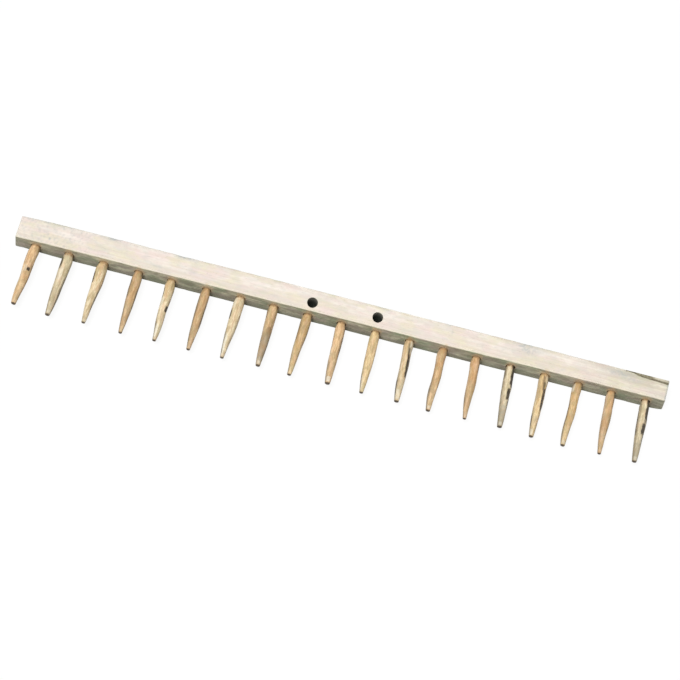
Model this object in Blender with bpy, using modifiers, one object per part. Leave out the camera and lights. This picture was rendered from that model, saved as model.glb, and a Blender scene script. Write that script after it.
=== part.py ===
"""Head of a wooden rake: one long bar with tapered round teeth set in blind sockets.

The bar lies along X on its underside (z = 0), with its wide face up and its teeth pointing to -Y.
x = 0 is the middle tooth's place, and y = 0 is the middle of the bar's mean width.
Everything is in metres.
"""
import math

import bmesh
import bpy
from mathutils import Matrix, Vector

# The bar
BAR_THICKNESS = 0.0236
BAR_WIDTH_LEFT = 0.0302
BAR_WIDTH_RIGHT = 0.0269
BAR_MARGIN_LEFT = 0.0246
BAR_MARGIN_RIGHT = 0.0214
EDGE_ROUND = 0.0009
RIGHT_CORNER_ROUND = 0.0034

# Bark-side chip along the back edge at the bar's right end
CHIP_LENGTH = 0.048
CHIP_WIDTH = 0.0058
CHIP_DEPTH = 0.0020

# The row of teeth
TOOTH_COUNT = 19
TOOTH_PITCH = 0.040
TOOTH_DIAMETER = 0.0113
TOOTH_REACH = 0.0812
TOOTH_STRAIGHT = 0.0220
TIP_DIAMETER = 0.0046
TIP_ROUND = 0.0006
TAPER_POWER = 1.9
TENON_LENGTH = 0.0160
TENON_CHAMFER = 0.0008
SOCKET_CLEARANCE = 0.0003

# The two oval handle bores through the wide face, on either side of the middle tooth
BORE_ALONG = 0.0118
BORE_ACROSS = 0.0134
BORE_LEFT_X = -0.0375
BORE_RIGHT_X = 0.0390
BORE_LEFT_SETBACK = 0.0114
BORE_RIGHT_SETBACK = 0.0136
BORE_WALL = 0.0010

# Facets round a tooth and round a bore, and rings along a tooth's taper
TOOTH_SIDES = 20
BORE_SIDES = 32
TAPER_RINGS = 8
ROUND_STEPS = 2

# How far a cutter runs past the face that it opens
CUT_THROUGH = 0.004

# Each tooth's own stance: lean in degrees (negative to the left), shift along the bar and
# extra reach in metres, and which wood it is split from
STANCES = (
    (-2.5, -0.0005, -0.0015, "orange"),
    (-1.5, -0.0010, 0.0015, "grey"),
    (-2.0, 0.0000, 0.0000, "pale"),
    (0.0, 0.0010, 0.0010, "brown"),
    (0.0, 0.0000, 0.0000, "pale"),
    (-1.0, 0.0015, 0.0005, "brown"),
    (-2.5, 0.0020, 0.0000, "pale"),
    (-0.5, 0.0010, -0.0015, "brown"),
    (-3.0, 0.0010, 0.0000, "golden"),
    (0.0, 0.0010, -0.0010, "orange"),
    (0.0, 0.0010, -0.0005, "golden"),
    (0.5, 0.0010, -0.0005, "pale"),
    (-2.0, 0.0015, 0.0010, "orange"),
    (0.5, 0.0000, -0.0005, "orange"),
    (1.0, 0.0000, -0.0015, "grey"),
    (-1.5, 0.0010, 0.0010, "golden"),
    (-4.0, 0.0010, 0.0020, "golden"),
    (-1.5, -0.0005, 0.0005, "orange"),
    (-1.0, -0.0005, -0.0005, "grey"),
)

# Base colour and roughness of each wood
WOODS = {
    "bar": ((0.79, 0.71, 0.60), 0.72),
    "pale": ((0.78, 0.63, 0.42), 0.62),
    "golden": ((0.74, 0.53, 0.29), 0.60),
    "orange": ((0.72, 0.47, 0.25), 0.60),
    "brown": ((0.60, 0.41, 0.22), 0.64),
    "grey": ((0.68, 0.58, 0.40), 0.68),
}

TOOTHED_FACE_Y = -(BAR_WIDTH_LEFT + BAR_WIDTH_RIGHT) / 4
TOOTH_AXIS_Z = BAR_THICKNESS / 2
HALF_ROW = (TOOTH_COUNT - 1) / 2 * TOOTH_PITCH
BAR_LEFT_X = -HALF_ROW - BAR_MARGIN_LEFT
BAR_RIGHT_X = HALF_ROW + BAR_MARGIN_RIGHT
BORES = (
    (BORE_LEFT_X, BORE_LEFT_SETBACK),
    (BORE_RIGHT_X, BORE_RIGHT_SETBACK),
)


def clear_scene():
    for obj in list(bpy.data.objects):
        bpy.data.objects.remove(obj, do_unlink=True)


def new_collection(name):
    collection = bpy.data.collections.new(name)
    bpy.context.scene.collection.children.link(collection)
    return collection


def wood_material(name, wood):
    """A plain wood finish in the colour of one of the woods."""
    colour, roughness = WOODS[wood]
    material = bpy.data.materials.new(name)
    material.use_nodes = True
    shader = material.node_tree.nodes["Principled BSDF"]
    shader.inputs["Base Color"].default_value = (*colour, 1.0)
    shader.inputs["Roughness"].default_value = roughness
    shader.inputs["Metallic"].default_value = 0.0
    return material


def object_from(bm, name, collection):
    mesh = bpy.data.meshes.new(name)
    bm.to_mesh(mesh)
    bm.free()
    obj = bpy.data.objects.new(name, mesh)
    collection.objects.link(obj)
    return obj


def mark_as_cutter(obj):
    obj.hide_render = True
    obj.display_type = "WIRE"
    return obj


def back_face_y(x):
    """The bar narrows evenly from its left end to its right end, all of it on the back face."""
    share = (x - BAR_LEFT_X) / (BAR_RIGHT_X - BAR_LEFT_X)
    return TOOTHED_FACE_Y + BAR_WIDTH_LEFT + share * (BAR_WIDTH_RIGHT - BAR_WIDTH_LEFT)


def tooth_x(index):
    return index * TOOTH_PITCH - HALF_ROW + STANCES[index % len(STANCES)][1]


def tenon_length(x):
    """The tenon stops short of a handle bore that stands behind it."""
    length = TENON_LENGTH
    for bore_x, setback in BORES:
        if abs(x - bore_x) < (TOOTH_DIAMETER + BORE_ALONG) / 2 + BORE_WALL:
            near_wall = setback - BORE_ACROSS / 2
            length = min(length, near_wall - BORE_WALL - SOCKET_CLEARANCE)
    return length


def tooth_matrix(index):
    """Places a tooth's own +Z on the bar's +Y, turned by its lean, at the mouth of its socket."""
    lean = math.radians(STANCES[index % len(STANCES)][0])
    place = Matrix.Translation((tooth_x(index), TOOTHED_FACE_Y, TOOTH_AXIS_Z))
    return place @ Matrix.Rotation(lean, 4, "Z") @ Matrix.Rotation(-math.pi / 2, 4, "X")


def tooth_radius(distance, reach):
    """Straight at first, then narrowing to the tip along a power curve."""
    root = TOOTH_DIAMETER / 2
    tip = TIP_DIAMETER / 2
    share = max(0.0, (distance - TOOTH_STRAIGHT) / (reach - TOOTH_STRAIGHT))
    return root - (root - tip) * share ** TAPER_POWER


def tooth_profile(tenon, reach):
    """Points (radius, height) from the tenon's end, down the outside, to the middle of the tip."""
    root = TOOTH_DIAMETER / 2
    points = [(0.0, tenon), (root - TENON_CHAMFER, tenon), (root, tenon - TENON_CHAMFER)]
    taper_end = reach - TIP_ROUND
    for ring in range(TAPER_RINGS + 1):
        distance = TOOTH_STRAIGHT + (taper_end - TOOTH_STRAIGHT) * ring / TAPER_RINGS
        points.append((tooth_radius(distance, reach), -distance))
    flat = tooth_radius(taper_end, reach) - TIP_ROUND
    for step in range(1, ROUND_STEPS + 1):
        angle = math.pi / 2 * step / ROUND_STEPS
        points.append((flat + TIP_ROUND * math.cos(angle), -taper_end - TIP_ROUND * math.sin(angle)))
    points.append((0.0, -reach))
    return points


def add_screw(obj, sides):
    screw = obj.modifiers.new("turned", "SCREW")
    screw.axis = "Z"
    screw.angle = math.tau
    screw.screw_offset = 0.0
    screw.steps = sides
    screw.render_steps = sides
    screw.use_merge_vertices = True
    screw.merge_threshold = 0.00005
    screw.use_smooth_shade = True


def make_tooth(index, collection):
    name = f"tooth_{index + 1:02d}"
    _, _, extra_reach, wood = STANCES[index % len(STANCES)]
    profile = tooth_profile(tenon_length(tooth_x(index)), TOOTH_REACH + extra_reach)
    bm = bmesh.new()
    verts = [bm.verts.new((radius, 0.0, height)) for radius, height in profile]
    for upper, lower in zip(verts, verts[1:]):
        bm.edges.new((upper, lower))
    tooth = object_from(bm, name, collection)
    tooth.matrix_world = tooth_matrix(index)
    add_screw(tooth, TOOTH_SIDES)
    tooth.data.materials.append(wood_material(f"{name}_wood", wood))
    return tooth


def make_bar(collection):
    """A box with a sloping back face and rounded edges."""
    bm = bmesh.new()
    bmesh.ops.create_cube(bm, size=1.0)
    for vert in bm.verts:
        vert.co.x = BAR_RIGHT_X if vert.co.x > 0 else BAR_LEFT_X
        vert.co.y = back_face_y(vert.co.x) if vert.co.y > 0 else TOOTHED_FACE_Y
        vert.co.z = BAR_THICKNESS if vert.co.z > 0 else 0.0
    weights = bm.edges.layers.float.new("bevel_weight_edge")
    for edge in bm.edges:
        low_right_corner = all(vert.co.x == BAR_RIGHT_X and vert.co.z == 0.0 for vert in edge.verts)
        edge[weights] = 1.0 if low_right_corner else EDGE_ROUND / RIGHT_CORNER_ROUND
    bar = object_from(bm, "head_bar", collection)
    bevel = bar.modifiers.new("rounded_edges", "BEVEL")
    bevel.limit_method = "WEIGHT"
    bevel.width = RIGHT_CORNER_ROUND
    bevel.segments = 3
    bar.data.materials.append(wood_material("head_bar_wood", "bar"))
    return bar


def make_socket_cutter(index, collection):
    """A blind round hole that shares its tooth's axis, a clearance wider and deeper."""
    depth = tenon_length(tooth_x(index)) + SOCKET_CLEARANCE
    radius = TOOTH_DIAMETER / 2 + SOCKET_CLEARANCE
    bm = bmesh.new()
    middle = Matrix.Translation((0.0, 0.0, (depth - CUT_THROUGH) / 2))
    bmesh.ops.create_cone(bm, cap_ends=True, segments=TOOTH_SIDES, radius1=radius, radius2=radius,
                          depth=depth + CUT_THROUGH, matrix=middle)
    cutter = object_from(bm, f"socket_cutter_{index + 1:02d}", collection)
    cutter.matrix_world = tooth_matrix(index)
    return mark_as_cutter(cutter)


def make_bore_cutter(side, x, setback, collection):
    """An oval hole through the wide face and the underside."""
    bm = bmesh.new()
    bmesh.ops.create_cone(bm, cap_ends=True, segments=BORE_SIDES, radius1=0.5, radius2=0.5,
                          depth=BAR_THICKNESS + 2 * CUT_THROUGH)
    bmesh.ops.scale(bm, vec=(BORE_ALONG, BORE_ACROSS, 1.0), verts=bm.verts)
    cutter = object_from(bm, f"bore_cutter_{side}", collection)
    cutter.location = (x, TOOTHED_FACE_Y + setback, BAR_THICKNESS / 2)
    return mark_as_cutter(cutter)


def make_chip_cutter(collection):
    """A block whose lower side lies on the chip's plane, through the chip's three corners."""
    start_x = BAR_RIGHT_X - CHIP_LENGTH
    start = Vector((start_x, back_face_y(start_x), BAR_THICKNESS))
    inner = Vector((BAR_RIGHT_X, back_face_y(BAR_RIGHT_X) - CHIP_WIDTH, BAR_THICKNESS))
    outer = Vector((BAR_RIGHT_X, back_face_y(BAR_RIGHT_X), BAR_THICKNESS - CHIP_DEPTH))
    along = (inner - start).normalized()
    normal = along.cross(outer - start).normalized()
    across = normal.cross(along)
    turn = Matrix((along, across, normal)).transposed().to_4x4()
    bm = bmesh.new()
    bmesh.ops.create_cube(bm, size=1.0)
    size = Vector((3 * CHIP_LENGTH, 6 * CHIP_WIDTH, 6 * CHIP_DEPTH))
    bmesh.ops.scale(bm, vec=size, verts=bm.verts)
    cutter = object_from(bm, "chip_cutter", collection)
    cutter.matrix_world = Matrix.Translation(inner + normal * size.z / 2) @ turn
    return mark_as_cutter(cutter)


def cut_bar(bar, cutters):
    cut = bar.modifiers.new("sockets_bores_and_chip", "BOOLEAN")
    cut.operation = "DIFFERENCE"
    cut.operand_type = "COLLECTION"
    cut.collection = cutters
    cut.solver = "EXACT"


def main():
    clear_scene()
    rake = new_collection("wooden_rake_head")
    cutters = new_collection("cutters")
    bar = make_bar(rake)
    for index in range(TOOTH_COUNT):
        make_tooth(index, rake)
        make_socket_cutter(index, cutters)
    make_bore_cutter("left", *BORES[0], cutters)
    make_bore_cutter("right", *BORES[1], cutters)
    make_chip_cutter(cutters)
    cut_bar(bar, cutters)


main()
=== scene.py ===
import math

import bpy
import numpy as np
from mathutils import Matrix, Vector


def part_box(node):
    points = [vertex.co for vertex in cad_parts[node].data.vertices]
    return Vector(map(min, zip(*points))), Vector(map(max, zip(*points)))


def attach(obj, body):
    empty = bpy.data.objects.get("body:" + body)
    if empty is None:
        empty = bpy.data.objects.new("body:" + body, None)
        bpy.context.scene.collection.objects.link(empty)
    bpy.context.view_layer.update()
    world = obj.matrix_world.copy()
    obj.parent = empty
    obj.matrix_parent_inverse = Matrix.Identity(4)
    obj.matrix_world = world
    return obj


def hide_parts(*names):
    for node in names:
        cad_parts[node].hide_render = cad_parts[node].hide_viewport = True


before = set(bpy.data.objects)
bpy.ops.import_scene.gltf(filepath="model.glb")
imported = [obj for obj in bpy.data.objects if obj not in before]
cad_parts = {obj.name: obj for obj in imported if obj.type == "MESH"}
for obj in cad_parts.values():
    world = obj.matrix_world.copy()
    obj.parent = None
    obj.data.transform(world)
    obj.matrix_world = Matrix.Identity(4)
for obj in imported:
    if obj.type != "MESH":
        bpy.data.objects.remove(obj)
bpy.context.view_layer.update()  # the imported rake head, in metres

scene = bpy.context.scene
print("frame loaded:", len(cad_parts), "nodes")


# camera, lamp, sky and floor

cameraView = {
    "target": (0.00346, -0.02823, 0.0),
    "distance": 2.587,
    "elevation": 60.0,  # degrees above the floor
    "roll": 14.207,  # how far the head slopes down to the right
    "lens": 119.48,
    "sensor": 36.0,
}

studio = {
    "lampDirection": (-0.20, -0.25, 0.91),
    "lampAngle": 30.0,  # degrees across, which keeps the shadows soft
    "lampStrength": 2.45,
    "skyLight": 0.35,
    "floorSize": 9.0,
    "floorBounce": 0.25,
    "floorShade": 0.10,  # how much of the seen floor takes shadow
    "floorGlow": 0.905,  # near the head, growing to 1 over glowReach
    "glowReach": (0.6, 2.5),
}


def feed(tree, socket, value):
    # a socket takes a link, a colour as red, green and blue, or a plain value
    if isinstance(value, bpy.types.NodeSocket):
        tree.links.new(value, socket)
    elif socket.type == "RGBA":
        socket.default_value = (*value, 1.0)
    else:
        socket.default_value = value


def addNode(tree, kind, inputs=None, **settings):
    # a node with its settings, and its inputs fed by name or number
    node = tree.nodes.new(kind)
    for key, value in settings.items():
        setattr(node, key, value)
    for socket, value in (inputs or {}).items():
        feed(tree, node.inputs[socket], value)
    return node


def blendColour(tree, share, first, second):
    # share 0 gives the first colour, 1 the second
    inputs = {0: share, 6: first, 7: second}
    return addNode(tree, "ShaderNodeMix", inputs, data_type="RGBA").outputs[2]


def maths(tree, operation, *values, clamp=False):
    # the operation on one or two values, held in 0 to 1 where clamp is set
    inputs = dict(enumerate(values))
    node = addNode(tree, "ShaderNodeMath", inputs, operation=operation, use_clamp=clamp)
    return node.outputs[0]


def vectorMaths(tree, operation, *values):
    # the same on all three coordinates; LENGTH gives the distance from the origin
    node = addNode(tree, "ShaderNodeVectorMath", dict(enumerate(values)), operation=operation)
    return node.outputs["Value" if operation == "LENGTH" else "Vector"]


def noise(tree, place, scale, detail, roughness=0.5):
    # Fac is one smooth field about 0.5, and Color holds three separate ones
    inputs = {"Vector": place, "Scale": scale, "Detail": detail, "Roughness": roughness}
    return addNode(tree, "ShaderNodeTexNoise", inputs).outputs


def between(tree, value, low, high, bottom=0.0, top=1.0):
    # smooth step of value from low to high, scaled to bottom..top
    inputs = {"Value": value, "From Min": low, "From Max": high, "To Min": bottom, "To Max": top}
    return addNode(tree, "ShaderNodeMapRange", inputs, interpolation_type="SMOOTHSTEP").outputs[0]


def seenDirectly(tree):
    # 1 on rays from the camera, in a reflection or through glass
    path = addNode(tree, "ShaderNodeLightPath")
    seen = maths(tree, "ADD", path.outputs["Is Camera Ray"], path.outputs["Is Glossy Ray"])
    return maths(tree, "ADD", seen, path.outputs["Is Transmission Ray"], clamp=True)


def makeCamera(view):
    # stands at target + distance * back, back = (0, -cos e, sin e), rolled about back
    rise = math.radians(view["elevation"])
    roll = math.radians(view["roll"])
    back = Vector((0.0, -math.cos(rise), math.sin(rise)))
    right = Vector((1.0, 0.0, 0.0))
    up = back.cross(right)
    rolledRight = right * math.cos(roll) + up * math.sin(roll)
    rolledUp = up * math.cos(roll) - right * math.sin(roll)
    place = Matrix((rolledRight, rolledUp, back)).transposed().to_4x4()
    place.translation = Vector(view["target"]) + back * view["distance"]
    data = bpy.data.cameras.new("camera")
    data.lens = view["lens"]
    data.sensor_width = view["sensor"]
    camera = bpy.data.objects.new("camera", data)
    camera.matrix_world = place
    scene.collection.objects.link(camera)
    scene.camera = camera


def makeStudio(spec):
    # one broad soft sun, an even pale sky and a square floor under the head
    towards = Vector(spec["lampDirection"]).normalized()
    data = bpy.data.lights.new("softLamp", "SUN")
    data.angle = math.radians(spec["lampAngle"])
    data.energy = spec["lampStrength"]
    lamp = bpy.data.objects.new("softLamp", data)
    lamp.rotation_euler = towards.to_track_quat("Z", "Y").to_euler()
    lamp.location = towards
    scene.collection.objects.link(lamp)

    world = bpy.data.worlds.new("paleStudio")
    world.use_nodes = True
    tree = world.node_tree
    sky = tree.nodes["Background"].inputs
    feed(tree, sky["Strength"], between(tree, seenDirectly(tree), 0.0, 1.0, spec["skyLight"], 1.0))
    feed(tree, sky["Color"], (1.0, 1.0, 1.0))
    scene.world = world

    # seen: shade * light + glow, which is white where nothing shades it; bounced: plain grey
    material = bpy.data.materials.new("paleFloor")
    material.use_nodes = True
    tree = material.node_tree
    tree.nodes.clear()
    reach = vectorMaths(tree, "LENGTH", addNode(tree, "ShaderNodeTexCoord").outputs["Object"])
    glow = between(tree, reach, *spec["glowReach"], spec["floorGlow"], 1.0)
    shade = addNode(tree, "ShaderNodeBsdfDiffuse", {"Color": [spec["floorShade"]] * 3})
    bounced = addNode(tree, "ShaderNodeBsdfDiffuse", {"Color": [spec["floorBounce"]] * 3})
    light = addNode(tree, "ShaderNodeEmission", {"Strength": glow})
    seen = addNode(tree, "ShaderNodeAddShader", {0: shade.outputs[0], 1: light.outputs[0]})
    mixed = addNode(tree, "ShaderNodeMixShader",
                    {0: seenDirectly(tree), 1: bounced.outputs[0], 2: seen.outputs[0]})
    addNode(tree, "ShaderNodeOutputMaterial", {"Surface": mixed.outputs[0]})

    half = spec["floorSize"] / 2
    corners = [(-half, -half, 0.0), (half, -half, 0.0), (half, half, 0.0), (-half, half, 0.0)]
    mesh = bpy.data.meshes.new("floor")
    mesh.from_pydata(corners, [], [(0, 1, 2, 3)])
    mesh.materials.append(material)
    floor = bpy.data.objects.new("floor", mesh)
    scene.collection.objects.link(floor)

    scene.view_settings.view_transform = "Standard"


makeCamera(cameraView)
makeStudio(studio)
print("camera and studio ready")


# shapes on grids

def smoothStep(low, high, value):
    # t * t * (3 - 2t), with t from 0 at low to 1 at high
    t = np.clip((value - low) / (high - low), 0.0, 1.0)
    return t * t * (3.0 - 2.0 * t)


def bell(value, width):
    # exp(-(value / width) ^ 2): 1 at 0, and nearly 0 from twice the width on
    return np.exp(-(value / width) ** 2)


def ripple(seed, *axes):
    # smooth field of about -1 to 1: the sum of seven seeded waves sin(3 pace (k . axes) + phase)
    dice = np.random.default_rng(seed)
    field = 0.0
    for _ in range(7):
        k = dice.normal(size=len(axes))
        k = 3.0 * dice.uniform(0.5, 2.0) * k / np.linalg.norm(k)
        phase = dice.uniform(0.0, math.tau)
        field = field + np.sin(sum(axis * part for axis, part in zip(axes, k)) + phase)
    return np.clip(field / 2.8, -1.0, 1.0)


def blendOf(places, values, share, reach):
    # the values weighted by bell(share - place, reach), a smooth curve through them
    weights = [bell(share - place, reach) for place in places]
    return sum(weight * value for weight, value in zip(weights, values)) / sum(weights)


def evenSteps(count):
    # 1/count, 2/count ... 1 as one row
    return np.linspace(0.0, 1.0, count + 1)[None, 1:]


def fullTurn(count):
    # count even angles round a circle as one row
    return np.linspace(0.0, math.tau, count, endpoint=False)[None, :]


def surfaceMesh(name, grid, firstPole, lastPole):
    # rows of points whose columns close on themselves, with a pole point closing each end
    rows, columns = grid.shape[:2]
    here = np.arange(rows * columns).reshape(rows, columns)
    beside = np.roll(here, -1, axis=1)
    quads = np.stack((here[:-1], here[1:], beside[1:], beside[:-1]), axis=-1).reshape(-1, 4)
    poles = np.full(columns, rows * columns)
    firstFan = np.stack((poles, here[0], beside[0]), axis=-1)
    lastFan = np.stack((here[-1], poles + 1, beside[-1]), axis=-1)
    points = np.vstack((grid.reshape(-1, 3), firstPole, lastPole))
    mesh = bpy.data.meshes.new(name)
    mesh.from_pydata(points.tolist(), [], quads.tolist() + firstFan.tolist() + lastFan.tolist())
    return mesh


def newPiece(name, mesh, *materials):
    # an object at the origin, whose place is in its mesh
    for material in materials:
        mesh.materials.append(material)
    piece = bpy.data.objects.new(name, mesh)
    scene.collection.objects.link(piece)
    return piece


def setMask(mesh, name, values):
    # one number from 0 to 1 on each vertex, which a material reads by this name
    mask = mesh.attributes.new(name, "FLOAT", "POINT")
    mask.data.foreach_set("value", np.clip(values, 0.0, 1.0).astype(np.float32))


def vertexRows(mesh, key):
    # three numbers for each vertex: its place for "co", the way it faces for "normal"
    flat = np.empty(len(mesh.vertices) * 3, np.float32)
    mesh.vertices.foreach_get(key, flat)
    return flat.reshape(-1, 3).astype(float)


# patterns shared by the woods

def newGroup(name, values, outputs, colours=()):
    # an empty node group that takes Vector, the colours and the named values
    tree = bpy.data.node_groups.new(name, "ShaderNodeTree")
    kinds = {"Vector": "NodeSocketVector", **dict.fromkeys(colours, "NodeSocketColor"),
             **dict.fromkeys(values, "NodeSocketFloat")}
    for label, kind in kinds.items():
        socket = tree.interface.new_socket(label, in_out="INPUT", socket_type=kind)
        if label in values:
            socket.default_value = values[label]
    for label in outputs:
        kind = kinds.get(label, "NodeSocketFloat")
        tree.interface.new_socket(label, in_out="OUTPUT", socket_type=kind)
    return tree, addNode(tree, "NodeGroupInput").outputs, addNode(tree, "NodeGroupOutput").inputs


def makeFibreGroup():
    # noise drawn out along X: broad streaks, fine fibres three times narrower, and their relief
    sizes = {"Length": 0.05, "Width": 0.001, "Wander": 0.001}
    tree, given, result = newGroup("splitFibre", sizes, ("Streak", "Fibre", "Relief"))
    drift = noise(tree, given["Vector"], 22.0, 1.0)["Color"]
    centred = vectorMaths(tree, "SUBTRACT", drift, (0.5, 0.5, 0.5))
    moved = vectorMaths(tree, "MULTIPLY", centred, given["Wander"])
    place = vectorMaths(tree, "ADD", given["Vector"], moved)
    size = addNode(tree, "ShaderNodeCombineXYZ",
                   {"X": given["Length"], "Y": given["Width"], "Z": given["Width"]})
    drawn = vectorMaths(tree, "DIVIDE", place, size.outputs[0])
    streak = between(tree, noise(tree, drawn, 0.7, 3.0, 0.55)["Fac"], 0.34, 0.66)
    fibre = between(tree, noise(tree, drawn, 2.3, 3.0, 0.6)["Fac"], 0.32, 0.68)
    relief = maths(tree, "ADD", maths(tree, "MULTIPLY", streak, 0.6),
                   maths(tree, "MULTIPLY", fibre, 0.4))
    for label, value in (("Streak", streak), ("Fibre", fibre), ("Relief", relief)):
        feed(tree, result[label], value)
    return tree


def makeRingGroup():
    # dark late wood at steps of Spacing from a pith line along X, wavy by Wander
    tree, given, result = newGroup("growthRings", {"Spacing": 0.0026, "Wander": 0.003}, ("Ring",))
    stretched = vectorMaths(tree, "MULTIPLY", given["Vector"], (7.0, 40.0, 40.0))
    wave = maths(tree, "MULTIPLY", noise(tree, stretched, 1.0, 2.0)["Fac"], given["Wander"])
    across = vectorMaths(tree, "MULTIPLY", given["Vector"], (0.0, 1.0, 1.0))
    radius = maths(tree, "ADD", vectorMaths(tree, "LENGTH", across), wave)
    phase = maths(tree, "FRACT", maths(tree, "DIVIDE", radius, given["Spacing"]))
    rise = between(tree, phase, 0.30, 0.86)
    fall = between(tree, phase, 0.86, 1.0)
    feed(tree, result["Ring"], maths(tree, "SUBTRACT", rise, fall))
    return tree


def makeStainGroup():
    # lays Stain over Color by Mask, broken up by noise of the given Size
    values = {"Mask": 0.0, "Size": 0.003, "Ragged": 0.5}
    tree, given, result = newGroup("raggedStain", values, ("Color",), colours=("Color", "Stain"))
    grain = noise(tree, given["Vector"], maths(tree, "DIVIDE", 1.0, given["Size"]), 3.0)["Fac"]
    hole = maths(tree, "MULTIPLY", between(tree, grain, 0.62, 0.38), given["Ragged"])
    kept = maths(tree, "MULTIPLY", given["Mask"], maths(tree, "SUBTRACT", 1.0, hole), clamp=True)
    feed(tree, result["Color"], blendColour(tree, kept, given["Color"], given["Stain"]))
    return tree


def makeSpeckGroup():
    # small dark pores a few times longer than wide, drawn out along X
    tree, given, result = newGroup("darkSpecks", {"Size": 0.001, "Amount": 0.5}, ("Mask",))
    flattened = vectorMaths(tree, "MULTIPLY", given["Vector"], (0.28, 1.0, 1.0))
    grain = noise(tree, flattened, maths(tree, "DIVIDE", 1.0, given["Size"]), 2.0, 0.6)["Fac"]
    speck = between(tree, grain, 0.60, 0.72)
    feed(tree, result["Mask"], maths(tree, "MULTIPLY", speck, given["Amount"]))
    return tree


def makePatchGroup():
    # three separate fields of soft patches, Size wide and Stretch times longer along X
    labels = ("First", "Second", "Third")
    tree, given, result = newGroup("softPatches", {"Size": 0.01, "Stretch": 2.5}, labels)
    shorter = maths(tree, "DIVIDE", 1.0, given["Stretch"])
    squeeze = addNode(tree, "ShaderNodeCombineXYZ", {"X": shorter, "Y": 1.0, "Z": 1.0})
    squeezed = vectorMaths(tree, "MULTIPLY", given["Vector"], squeeze.outputs[0])
    colour = noise(tree, squeezed, maths(tree, "DIVIDE", 1.0, given["Size"]), 2.5, 0.55)["Color"]
    fields = addNode(tree, "ShaderNodeSeparateColor", {"Color": colour}).outputs
    for label, field in zip(labels, fields):
        feed(tree, result[label], between(tree, field, 0.46, 0.62))
    return tree


groups = {
    "fibre": makeFibreGroup(),
    "rings": makeRingGroup(),
    "stain": makeStainGroup(),
    "specks": makeSpeckGroup(),
    "patches": makePatchGroup(),
}


def useGroup(tree, name, place, values):
    # a shared pattern at this place with the material's own values
    inputs = {"Vector": place, **values}
    return addNode(tree, "ShaderNodeGroup", inputs, node_tree=groups[name]).outputs


def newMaterial(name, roughness, specular):
    # a plain material, its shader's inputs, and the place on the piece that its patterns read
    material = bpy.data.materials.new(name)
    material.use_nodes = True
    tree = material.node_tree
    shader = tree.nodes["Principled BSDF"].inputs
    shader["Roughness"].default_value = roughness
    shader["Specular IOR Level"].default_value = specular
    return material, tree, shader, addNode(tree, "ShaderNodeTexCoord").outputs["Object"]


def maskOf(tree, name):
    # the numbers that setMask put on the vertices
    return addNode(tree, "ShaderNodeAttribute", attribute_name=name).outputs["Fac"]


def layered(tree, colour, *layers):
    # lays each (mask, strength, colour) over the last
    for mask, strength, tint in layers:
        colour = blendColour(tree, maths(tree, "MULTIPLY", mask, strength), colour, tint)
    return colour


def stained(tree, place, colour, wood, stains):
    # lays each stain over the last: the name of its mask and colour, its size, how ragged it is
    for name, size, ragged in stains:
        values = {"Color": colour, "Stain": wood[name], "Mask": maskOf(tree, name), "Size": size,
                  "Ragged": ragged}
        colour = useGroup(tree, "stain", place, values)["Color"]
    return colour


def addRelief(tree, shader, height, depth):
    # height 0 to 1 lifts the surface by up to depth
    bump = addNode(tree, "ShaderNodeBump", {"Height": height, "Distance": depth, "Strength": 0.6})
    feed(tree, shader["Normal"], bump.outputs["Normal"])


# the bar

barSpec = {
    "stations": 720,  # sections along the bar, and the steps in each part of one
    "steps": {"corner": 6, "cap": 14, "top": 20, "back": 12, "underside": 14, "toothed": 18},
    "rightWidth": 0.0272,
    "endRound": 0.0009,
    "wave": 0.00012,  # how uneven the planed faces are
    "nearEdge": 0.0009,
    "otherEdges": 0.0008,
    "underEdge": 0.0001,
    "edgeWear": 0.00035,
    "leftWear": (0.0450, 0.0013),  # at the left end's back edge: how far in and how deep
    "rightSkew": (0.050, 0.0014),  # at the right end's near corner: how far in and how deep
    "lowRightCorner": (0.0014, 0.0017),  # how far it is rounded along the bar and upwards
    "lowLeftCorner": (0.0012, 0.0012),
    "lowRightRise": (0.0160, 0.0028),
    "wornUnder": (0.0550, 0.0070, 0.0036),  # at the left end: how far in, how deep and how high
    "chipLength": 0.0521,
    "chipGrown": (0.0, 0.07, 0.20, 0.30, 0.40, 0.65, 0.80, 1.0),  # shares of the chip's length
    "chipWidth": (0.0003, 0.0012, 0.0017, 0.0033, 0.0042, 0.0048, 0.0050, 0.0059),
    "chipRun": (0.04, 0.09, 0.16, 0.28, 0.46, 0.72, 1.0),  # from its inner line to the edge
    "chipDepth": 0.0012,
    "chipStep": 0.0005,  # how wide the step at its inner line is
    "nicks": [  # along the back edge: middle, half length, depth
        (-0.3537, 0.0012, 0.0005),
        (-0.2720, 0.0038, 0.0009),
        (-0.1935, 0.0058, 0.0010),
        (0.1210, 0.0015, 0.0004),
    ],
    "sharpFrom": 38.0,  # degrees between faces
}

boreSpec = {
    "along": 0.0118,
    "across": 0.0134,
    "places": [(-0.0375, 0.0114), (0.0390, 0.0136)],  # x, and distance from the toothed face
    "depths": (-0.0030, 0.0, 0.0003, 0.0007, 0.0012, 0.0020, 0.0040, 0.0080, 0.0118),
    "rimFlare": (0.00025, 0.0006),  # how much wider at the rim, and how deep that reaches
    "uneven": 0.008,
    "columns": 72,
    "rimColour": (0.30, 0.28, 0.24),
    # the bore's depths: painted shade, partly old dirt
    "deepShadedColour": (0.055, 0.060, 0.050),
    "rimDepth": 0.0110,
}

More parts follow.
